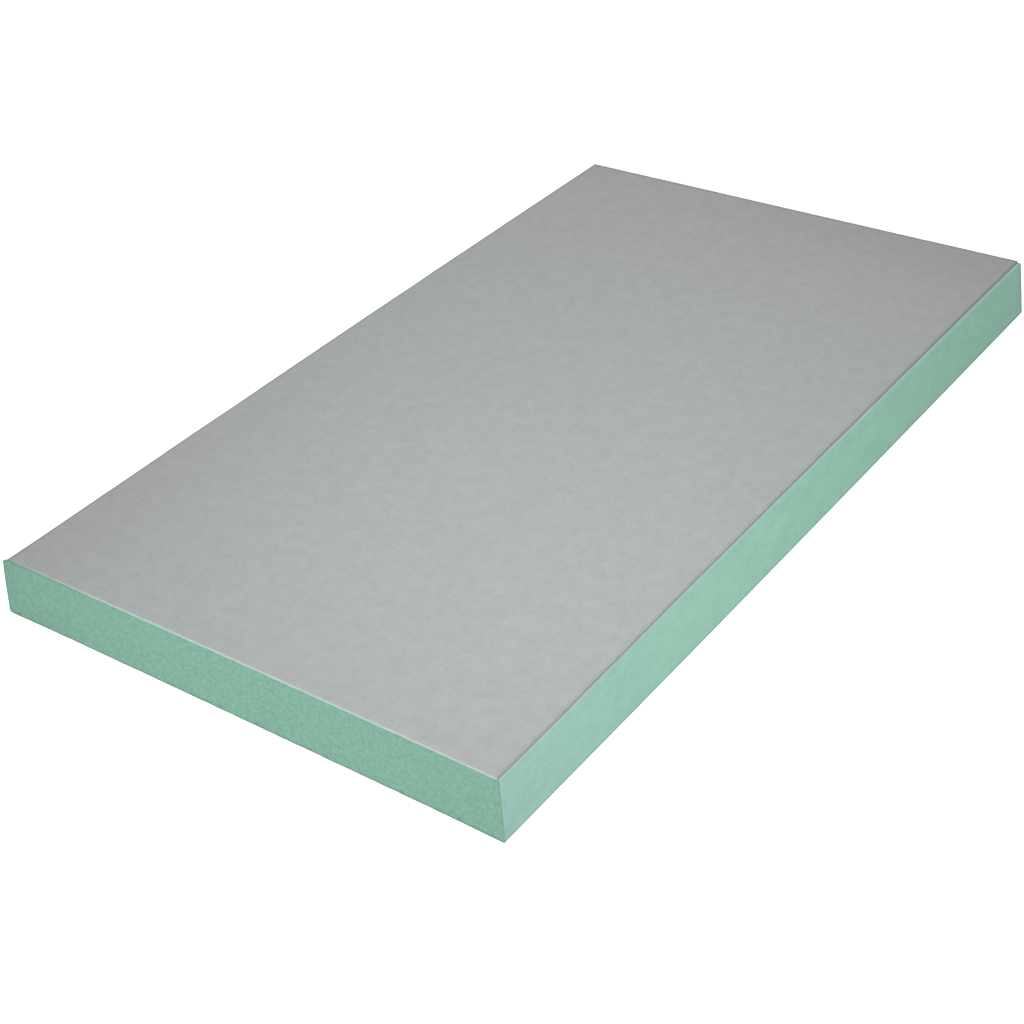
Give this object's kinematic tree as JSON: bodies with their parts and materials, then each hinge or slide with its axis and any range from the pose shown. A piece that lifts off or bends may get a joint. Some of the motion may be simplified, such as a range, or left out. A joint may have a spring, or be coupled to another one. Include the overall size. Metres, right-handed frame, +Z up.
{
  "type": "drywall sheet",
  "caption": "Flat piece of moisture-resistant gypsum board lying face down: grey back paper, green paper folded round the long edges, green core bare at the cut ends.",
  "frame": {"origin": "middle of the face, at the level that the sheet lies on", "axes": "+X along the sheet between the cut ends, +Y across it between the folded long edges, +Z up through the thickness, from the face to the back"},
  "size_m": [0.19, 0.113, 0.0125],
  "materials": {
    "gypsum_core": "matt cast gypsum with a fine grain, tinted green",
    "face_paper": "smooth matt liner paper, green",
    "back_paper": "matt recycled liner paper, grey, faintly mottled"
  },
  "bodies": {
    "root": {"gypsum_core": "gypsum_core", "face_paper": "face_paper", "back_paper": "back_paper"}
  },
  "joints": []
}
